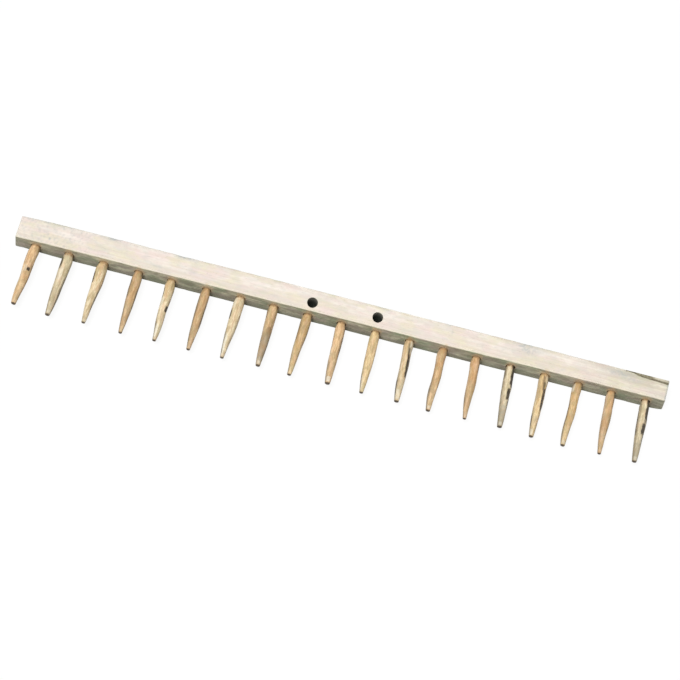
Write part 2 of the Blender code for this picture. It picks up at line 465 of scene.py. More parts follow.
barWood = {
    "chalk": (0.945, 0.868, 0.790),
    "cream": (0.875, 0.785, 0.670),
    "rosy": (0.885, 0.735, 0.690),
    "butter": (0.845, 0.785, 0.590),
    "silver": (0.640, 0.655, 0.620),
    "creamStreak": (0.66, 0.55, 0.42),
    # the near edge's lighter band: partly wear, partly painted highlight
    "worn": (0.83, 0.755, 0.61),
    "olive": (0.890, 0.860, 0.640),
    "oliveDark": (0.270, 0.240, 0.160),
    "moss": (0.445, 0.545, 0.355),
    "mauve": (0.690, 0.585, 0.510),
    # dark for the lower faces: painted shade near the floor, partly soiling
    "grimeAndShade": (0.300, 0.305, 0.225),
    # warm arch over each root: painted shade, partly stain
    "rootStainAndShade": (0.680, 0.490, 0.290),
    # painted shadow right of each root, partly soiling
    "rootShadowAndDirt": (0.100, 0.078, 0.040),
    "greyMark": (0.470, 0.490, 0.480),
    "wane": (0.220, 0.190, 0.115),
    "barkLine": (0.100, 0.080, 0.045),
    "roughness": 0.75,
    "specular": 0.25,
    "relief": 0.00022,
    "fineGrain": {"Length": 0.045, "Width": 0.0011, "Wander": 0.0020},
    "broadGrain": {"Length": 0.034, "Width": 0.0030, "Wander": 0.0060},
    "largePatches": {"Size": 0.013, "Stretch": 2.2},
    "smallPatches": {"Size": 0.0050, "Stretch": 2.0},
    "specks": {"Size": 0.0014, "Amount": 0.5},
    "rings": {"Spacing": 0.0027, "Wander": 0.0040},
    "pith": {"Location": (0.0, -0.030, 0.052), "Rotation": (0.0, 0.004, 0.014)},
}

barWear = {
    "bleachFrom": (0.62, 0.97),  # share of the normal that points up
    "backGrey": (0.34, 0.10, 0.0028),  # strength, more at the left end, width from the back edge
    "rightShadeAndGrey": [(0.05, 0.12, 0.22), (0.14, 0.27, 0.32)],  # strength, from x and to x; painted shade of the light falling off towards the right
    "farRightGrey": 0.24,  # towards the right end's back corner
    "endGrey": (0.75, 0.35),  # line along the right end: strength, and bleaching that it takes
    "sunned": (-0.0125, 0.0030),  # from y and to y across the wide face
    "wornEdgeHighlight": (0.0013, 0.0010, 0.46, 0.50),  # place, width, strength, how much it wanders; a lighter band by the near edge, partly wear, partly painted highlight where the rounded edge catches the light
    "grimeAndShade": (0.0105, 0.0020),  # from z and to z, on what doesn't face up; darker towards the bottom, painted shade near the floor, partly soiling
    "frontGrime": (0.45, 0.360, 0.370),  # strength, from x and to x
    "frontBleach": (0.26, -0.366, -0.378),
    "rootStainShadeReach": (0.0073, 0.0086, 0.0128),  # half widths to the left and right, and height of the warm arch: painted shade, partly stain
    "rootStainAndShade": 0.8,
    "rootShadowAndDirt": (0.60, 0.20),  # painted dark spot right of a root, partly soiling, and the wide painted shadow of the tooth round it
    "leftMottle": 0.36,
    "leftLine": (0.42, 0.0034),  # strength, and width from the back edge
    "marks": [  # grey stains on the wide face: x, y, half length, half width, strength
        (-0.3530, -0.0050, 0.0016, 0.0016, 0.75),
        (-0.3465, -0.0062, 0.0018, 0.0014, 0.6),
        (-0.3402, -0.0030, 0.0060, 0.0020, 0.3),
        (-0.2620, -0.0002, 0.0100, 0.0040, 0.2),
        (-0.2182, -0.0069, 0.0080, 0.0016, 0.35),
        (-0.1804, -0.0025, 0.0050, 0.0040, 0.5),
        (-0.2760, 0.0130, 0.0050, 0.0022, 0.6),
        (-0.1900, 0.0130, 0.0110, 0.0018, 0.6),
        (0.1262, 0.0040, 0.0009, 0.0034, 0.5),
        (0.2130, 0.0110, 0.0150, 0.0055, 0.7),
        (0.2140, 0.0030, 0.0110, 0.0050, 0.5),
        (0.3230, 0.0070, 0.0150, 0.0045, 0.7),
        (0.3409, 0.0020, 0.0100, 0.0030, 0.4),
    ],
}


def barSurface(spec):
    # each station's section goes up the toothed face, over the top, down the back and along the
    # underside; its corners are quarter ellipses, and the ends shrink to a pole
    low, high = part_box("head_bar")
    steps = spec["steps"]
    turn = np.linspace(0.0, math.pi / 2, steps["corner"] + 1)[1:]
    caps = np.linspace(0.0, 1.0, steps["cap"] + 1)[1:]
    endRound = spec["endRound"]
    body = np.linspace(low.x + endRound, high.x - endRound, spec["stations"] + 2)[1:-1]
    edgeIn = endRound * (1.0 - np.cos(turn))
    edgeInset = endRound * (1.0 - np.sin(turn))
    flat = 0.0 * body
    x = (low.x + 0.0 * caps, low.x + edgeIn, body, high.x - edgeIn[::-1], high.x + 0.0 * caps)
    inset = (endRound + 0.0 * caps, edgeInset, flat, edgeInset[::-1], endRound + 0.0 * caps)
    shrink = (caps, 1.0 + 0.0 * turn, 1.0 + flat, 1.0 + 0.0 * turn, caps[::-1])
    x, inset, shrink = (np.concatenate(parts)[:, None] for parts in (x, inset, shrink))

    fromLeft, fromRight = x - low.x, high.x - x
    narrowing = (spec["rightWidth"] - (high.y - low.y)) * (fromLeft / (high.x - low.x))
    wave = spec["wave"]
    front = low.y + wave * (1.0 + ripple(1, x / 0.09)) + inset
    length, inwards = spec["leftWear"]
    worn = inwards * np.clip(1.0 - fromLeft / length, 0.0, 1.0) ** 1.5
    back = high.y + narrowing - wave * (1.0 + ripple(2, x / 0.06)) - inset - worn
    top = high.z - wave * (1.0 + ripple(3, x / 0.10)) - inset
    rise = np.zeros_like(x)
    for corner, gap in (("lowRightCorner", fromRight), ("lowLeftCorner", fromLeft)):
        along, upwards = spec[corner]
        past = np.clip(1.0 - gap / along, 0.0, 1.0)
        rise = np.maximum(rise, upwards * (1.0 - np.sqrt(1.0 - past ** 2)))
    length, upwards = spec["lowRightRise"]
    rise = rise + upwards * np.clip(1.0 - fromRight / length, 0.0, 1.0) ** 2
    bottom = low.z + np.maximum(rise, inset)

    wear = spec["edgeWear"]
    nearTop = spec["nearEdge"] + wear * ripple(4, x / 0.02)
    farTop = spec["otherEdges"] + wear * ripple(5, x / 0.015)
    farBottom = spec["otherEdges"] + wear * ripple(6, x / 0.02)
    chewed = (1.0 + ripple(7, x / 0.012)) * smoothStep(0.2, 0.9, ripple(29, x / 0.02))
    nearBottom = spec["underEdge"] + wear * chewed
    farTop = farTop * (1.0 - 0.5 * smoothStep(0.28, 0.34, x))
    for middle, half, depth in spec["nicks"]:
        farTop = farTop + depth * bell(x - middle, half)
    length, inwards, upwards = spec["wornUnder"]
    gone = smoothStep(length, 0.0, fromLeft) * (1.0 + 0.12 * ripple(9, x / 0.012))
    underIn = nearBottom + inwards * gone
    underUp = nearBottom + upwards * gone

    # the chip: a ragged line runs in from the back edge, with a step down and a slope back up
    grown = np.clip((x - high.x + spec["chipLength"]) / spec["chipLength"], 0.0, 1.0)
    width = np.interp(grown, spec["chipGrown"], spec["chipWidth"])
    width = width * (1.0 + 0.06 * ripple(8, x / 0.006))
    outer = back - farTop
    chipLine = np.minimum(outer - 0.0003, back - width)
    run = np.array([spec["chipRun"]])
    chipY = chipLine + (outer - chipLine) * run
    deep = np.minimum(spec["chipDepth"], 0.35 * width)
    uneven = 1.0 + 0.08 * ripple(10, x / 0.004, run * 3.0)
    fall = deep * smoothStep(0.0, spec["chipStep"], chipY - chipLine) * (1.0 - run) * uneven
    farZ = top - fall[:, -1:]

    up, over = np.sin(turn)[None, :], 1.0 - np.cos(turn)[None, :]
    innerFront = front + nearTop
    topY = innerFront + (chipLine - innerFront) * evenSteps(steps["top"])
    backFace, underside = evenSteps(steps["back"]), evenSteps(steps["underside"])
    toothed = evenSteps(steps["toothed"])
    sections = [
        (front + nearTop * over, top - nearTop + nearTop * up),
        (topY, top + 0.0 * topY),
        (chipY, top - fall),
        (outer + farTop * up, farZ - farTop * over),
        (back + 0.0 * backFace, farZ - farTop + (bottom + farBottom - farZ + farTop) * backFace),
        (back - farBottom * over, bottom + farBottom - farBottom * up),
        (back - farBottom + (front + underIn - back + farBottom) * underside,
         bottom + 0.0 * underside),
        (front + underIn - underIn * up, bottom + underUp * over),
        (front + 0.0 * toothed, bottom + underUp + (top - nearTop - bottom - underUp) * toothed),
    ]
    y, z = (np.concatenate([part[axis] for part in sections], axis=1) for axis in (0, 1))
    length, inwards = spec["rightSkew"]
    skewed = inwards * np.clip(1.0 - fromRight / length, 0.0, 1.0) ** 2
    skewed = skewed * (z - low.z) / (high.z - low.z)
    x = x - skewed * np.clip((back - y) / (back - front), 0.0, 1.0)
    middles = np.mean(x, axis=1, keepdims=True), (front + back) / 2, (top + bottom) / 2
    x, y, z = (middle + (axis - middle) * shrink for axis, middle in zip((x, y, z), middles))
    poles = [[middle[row, 0] for middle in middles] for row in (0, -1)]
    return np.stack((x, y, z), axis=-1), poles


def boreCutter(x, setback, material):
    # an oval tube down through the bar, radius (a cos t, b sin t) * flare(z), wider at both rims
    low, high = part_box("head_bar")
    spec = boreSpec
    angle = fullTurn(spec["columns"])
    depth = np.array(spec["depths"])
    depth = np.concatenate((depth, high.z - depth[::-1][1:]))[:, None]
    toRim = np.minimum(np.maximum(depth, 0.0), np.maximum(high.z - depth, 0.0))
    flare, fade = spec["rimFlare"]
    flare = flare * np.exp(-toRim / fade) * (1.0 + 0.3 * ripple(11, np.cos(angle), np.sin(angle)))
    uneven = 1.0 + spec["uneven"] * ripple(12, np.cos(angle), np.sin(angle), depth / 0.004)
    across = low.y + setback + (spec["across"] / 2 * uneven + flare) * np.sin(angle)
    along = x + (spec["along"] / 2 * uneven + flare) * np.cos(angle)
    grid = np.stack((along, across, high.z - depth + 0.0 * along), axis=-1)
    poles = [(x, low.y + setback, high.z - depth[row, 0]) for row in (0, -1)]
    return newPiece("boreCutter", surfaceMesh("boreCutter", grid, *poles), material)


def makeBarWood(wood):
    # bleached cream where it faces up, weathered olive elsewhere, then wear, stains, painted shade
    # and a painted edge highlight by mask
    material, tree, shader, place = newMaterial("weatheredBar", wood["roughness"], wood["specular"])
    fine = useGroup(tree, "fibre", place, wood["fineGrain"])
    broad = useGroup(tree, "fibre", place, wood["broadGrain"])["Streak"]
    large = useGroup(tree, "patches", place, wood["largePatches"])
    small = useGroup(tree, "patches", place, wood["smallPatches"])
    specks = useGroup(tree, "specks", place, wood["specks"])["Mask"]
    pith = addNode(tree, "ShaderNodeMapping", {"Vector": place, **wood["pith"]}).outputs[0]
    ring = useGroup(tree, "rings", pith, wood["rings"])["Ring"]

    pale = blendColour(tree, maskOf(tree, "sunned"), wood["cream"], wood["chalk"])
    pale = layered(
        tree, pale, (large["First"], 0.75, wood["rosy"]), (large["Second"], 0.75, wood["butter"]),
        (large["Third"], 0.26, wood["silver"]), (small["First"], 0.26, wood["silver"]),
        (small["Second"], 0.35, wood["rosy"]), (broad, 0.14, wood["creamStreak"]),
        (fine["Streak"], 0.14, wood["creamStreak"]), (ring, 0.14, wood["creamStreak"]))
    dull = layered(
        tree, wood["olive"], (large["Second"], 0.85, wood["moss"]),
        (large["First"], 0.80, wood["mauve"]), (broad, 0.50, wood["oliveDark"]),
        (small["Second"], 0.36, wood["oliveDark"]), (fine["Streak"], 0.30, wood["oliveDark"]),
        (ring, 0.24, wood["oliveDark"]), (maskOf(tree, "grimeAndShade"), 0.80, wood["grimeAndShade"]))

    colour = blendColour(tree, maskOf(tree, "bleached"), dull, pale)
    colour = blendColour(tree, maskOf(tree, "worn"), colour, wood["worn"])
    colour = stained(tree, place, colour, wood, (
        ("greyMark", 0.004, 0.6), ("rootStainAndShade", 0.0025, 0.4), ("rootShadowAndDirt", 0.002, 0.3),
        ("wane", 0.002, 0.3), ("barkLine", 0.0015, 0.3)))
    feed(tree, shader["Base Color"], layered(tree, colour, (specks, 0.35, wood["oliveDark"])))
    height = maths(tree, "SUBTRACT", fine["Relief"], maths(tree, "MULTIPLY", specks, 0.6))
    addRelief(tree, shader, height, wood["relief"])
    return material


def makeHoleWood(name, spec):
    # a drilled wall: rim colour near the bar's wide face, deep colour inside; the darkening with
    # depth is painted shade, partly old dirt
    material, tree, shader, place = newMaterial(name, 0.9, 0.1)
    height = addNode(tree, "ShaderNodeSeparateXYZ", {0: place}).outputs["Z"]
    grain = noise(tree, place, 420.0, 3.0)["Fac"]
    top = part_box("head_bar")[1].z
    shade = maths(tree, "MULTIPLY", between(tree, height, top - spec["rimDepth"], top),
                  between(tree, grain, 0.3, 0.7, 0.5, 1.0))
    colour = blendColour(tree, shade, spec["deepShadedColour"], spec["rimColour"])
    feed(tree, shader["Base Color"], colour)
    addRelief(tree, shader, grain, 0.0003)
    return material


def barMasks(mesh, roots):
    # masks worked out from each vertex's place and the way it faces
    wear = barWear
    low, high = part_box("head_bar")
    x, y, z = vertexRows(mesh, "co").T
    _, backward, upward = vertexRows(mesh, "normal").T
    share = (x - low.x) / (high.x - low.x)
    back = high.y + (barSpec["rightWidth"] - (high.y - low.y)) * share
    toBack = np.maximum(back - y, 0.0)

    # the wide face is bleached, less along its back edge and at the right end, where the greying is
    # painted shade of the light falling off from left to right
    facing = smoothStep(*wear["bleachFrom"], upward)
    strength, atLeft, width = wear["backGrey"]
    backGrey = strength + atLeft * smoothStep(-0.22, -0.36, x)
    backGrey = backGrey * (0.70 + 0.6 * ripple(21, x / 0.02))
    farRight = smoothStep(0.29, 0.35, x) * smoothStep(-0.010, 0.006, y)
    # greying towards the right end: painted shade of the light falling off, with more grey at the
    # back corner
    rightShadeAndGrey = sum(grey * smoothStep(start, stop, x) for grey, start, stop in wear["rightShadeAndGrey"])
    rightShadeAndGrey = rightShadeAndGrey + wear["farRightGrey"] * farRight
    slant = barSpec["rightSkew"][1] * toBack / barSpec["rightWidth"]
    endLine = smoothStep(0.0024, 0.0010, high.x - x - slant)
    bleached = facing * (1.0 - backGrey * bell(toBack, width)) * (1.0 - rightShadeAndGrey)
    bleached = bleached * (1.0 - wear["endGrey"][1] * endLine)
    sunned = smoothStep(*wear["sunned"], y + 0.0015 * ripple(23, x / 0.05))
    sunned = sunned * (1.0 - smoothStep(0.25, 0.36, x))
    # a lighter band along the near top edge: partly wear, partly painted highlight where the
    # rounded edge catches the light
    edge = np.hypot(np.maximum(y - low.y, 0.0), np.maximum(high.z - z, 0.0))
    middle, width, strength, wander = wear["wornEdgeHighlight"]
    worn = bell(edge - middle, width) * (strength + wander * ripple(22, x / 0.012))
    worn = worn * smoothStep(0.3, 0.8, upward)
    # darker towards the bottom of faces that don't face up: painted shade near the floor, partly
    # soiling; frontGrime darkens the toothed face at the right end
    grimeAndShade = smoothStep(*wear["grimeAndShade"], z + 0.0012 * ripple(24, x / 0.03))
    grimeAndShade = grimeAndShade * smoothStep(0.5, -0.2, upward)
    front = smoothStep(-0.3, -0.8, backward)
    strength, start, stop = wear["frontGrime"]
    grimeAndShade = np.maximum(grimeAndShade, strength * front * smoothStep(start, stop, x))
    strength, start, stop = wear["frontBleach"]
    bleached = np.maximum(bleached, strength * front * smoothStep(start, stop, x))

    # a warm arch over each root, painted shade partly stain, with painted shadow on its right,
    # partly soiling
    warm, shadowAndDirt = np.zeros_like(x), np.zeros_like(x)
    inFront = smoothStep(low.y + 0.0035, low.y + 0.0008, y)
    leftHalf, rightHalf, archHeight = wear["rootStainShadeReach"]
    for rootX, rootZ in roots:
        aside, above = x - rootX, z - rootZ
        arch = np.hypot(aside / np.where(aside < 0.0, leftHalf, rightHalf), above / archHeight)
        arch = arch * (1.0 + 0.16 * ripple(30, x / 0.004, z / 0.005))
        stain = smoothStep(1.0, 0.58, arch) * smoothStep(-0.012, 0.002, above)
        warm = np.maximum(warm, wear["rootStainAndShade"] * stain)
        # to the right of each root: a dark spot, partly soiling, and a wide painted shadow cast by
        # the tooth down and to the right
        toRight = smoothStep(0.0, 0.004, aside)
        spot = smoothStep(0.0088, 0.0064, aside) * toRight * smoothStep(0.0022, -0.0054, above)
        wide = smoothStep(0.0170, 0.0070, aside) * toRight * smoothStep(0.0000, -0.0090, above)
        shadowAndDirt = np.maximum.reduce((shadowAndDirt, wear["rootShadowAndDirt"][0] * spot, wear["rootShadowAndDirt"][1] * wide))

    # grey marks: the line at the right end, mottling and a line at the left, single marks, nicks
    upper = smoothStep(0.0034, 0.0014, high.z - z + 0.0005 * ripple(27, x / 0.004))
    mottle = np.maximum(ripple(26, x / 0.0035, y / 0.003), 0.0) * smoothStep(-0.27, -0.33, x)
    strength, width = wear["leftLine"]
    leftLine = strength * bell(toBack, width) * smoothStep(-0.19, -0.29, x)
    leftLine = leftLine * (0.8 + 0.5 * ripple(28, x / 0.01))
    marks = (wear["endGrey"][0] * endLine + wear["leftMottle"] * mottle + leftLine) * facing
    for markX, markY, halfLength, halfWidth, strength in wear["marks"]:
        spot = bell(x - markX, halfLength) * bell(y - markY, halfWidth)
        marks = marks + strength * spot * smoothStep(0.3, 0.8, upward)
    for middle, half, _ in barSpec["nicks"]:
        marks = marks + bell(x - middle, 1.5 * half) * smoothStep(0.0030, 0.0008, toBack) * upper

    # the chip: bark along its inner line, old wood inside it, paler towards the edge
    grown = np.clip((x - high.x + barSpec["chipLength"]) / barSpec["chipLength"], 0.0, 1.0)
    width = np.interp(grown, barSpec["chipGrown"], barSpec["chipWidth"])
    run = 1.0 - toBack / np.maximum(width, 0.0010)
    inside = smoothStep(-0.06, 0.04, run) * smoothStep(0.0, 0.04, grown) * upper
    outerStrip = smoothStep(0.60, 0.72, grown) * smoothStep(0.34, 0.58, run)
    nearLine = bell(np.maximum(run - 0.12, 0.0), 0.30)
    barkLine = inside * np.maximum(nearLine, smoothStep(0.32, 0.22, grown))
    masks = {
        "bleached": bleached,
        "sunned": sunned,
        "worn": worn,
        "grimeAndShade": grimeAndShade,
        "rootStainAndShade": warm * inFront,
        "rootShadowAndDirt": shadowAndDirt * inFront,
        "greyMark": marks,
        "wane": inside * (1.0 - 0.75 * outerStrip),
        "barkLine": barkLine * (0.80 + 0.15 * ripple(25, x / 0.008)),
    }
    for name, values in masks.items():
        setMask(mesh, name, values)


# the teeth

toothSpec = {
    "pitch": 0.040,
    "rootRadius": 0.00565,
    "tipRadius": 0.0023,
    "straight": 0.0220,  # how far a tooth runs before it tapers
    "reach": 0.0812,
    "taperPower": 1.9,
    "girthReach": 0.17,  # how far each of the five girths carries, as a share of the length
    "toneReach": 0.28,
    "neck": (0.21, 0.11),  # how much slimmer at the bar, and the share of the length it takes
    "facetSharpness": 30.0,
    "drawnFlats": {"count": 6, "turn": (-18.0, 18.0), "start": (0.05, 0.45),
                   "length": (0.35, 0.8), "depth": (0.04, 0.09)},
    "uneven": (0.012, 0.006),  # how far from round, in broad and in fine waves
    "knotDent": 0.10,
    "stray": (0.00012, 0.0003),  # how far the axis wanders aside and up
    "bendWave": (0.06, 0.64),  # where the bend's wave starts, and its length, as shares
    "tipRound": 0.0006,
    "tipRoom": 0.0001,  # left between the tip and the end of the solid's box
    "tenon": 0.0160,
    "tenonRound": (0.0008, 0.86),  # its last part, and how thick it ends
    "clearOfBore": (0.0125, 0.0013),  # along the bar, and left in front of the bore
    "rows": 110,
    "columns": 60,
}

socketSpec = {
    "gap": 0.0003,
    "depths": (-0.0030, 0.0, 0.0004, 0.0009, 0.0016, 0.0030),
    "mouthFlare": (0.0004, 0.0007),  # how much wider at the mouth, and how deep that reaches
    "columns": 64,
    "rimColour": (0.30, 0.18, 0.09),
    # the socket's depths: painted shade, partly old dirt
    "deepShadedColour": (0.10, 0.06, 0.03),
    "rimDepth": 0.0200,
}

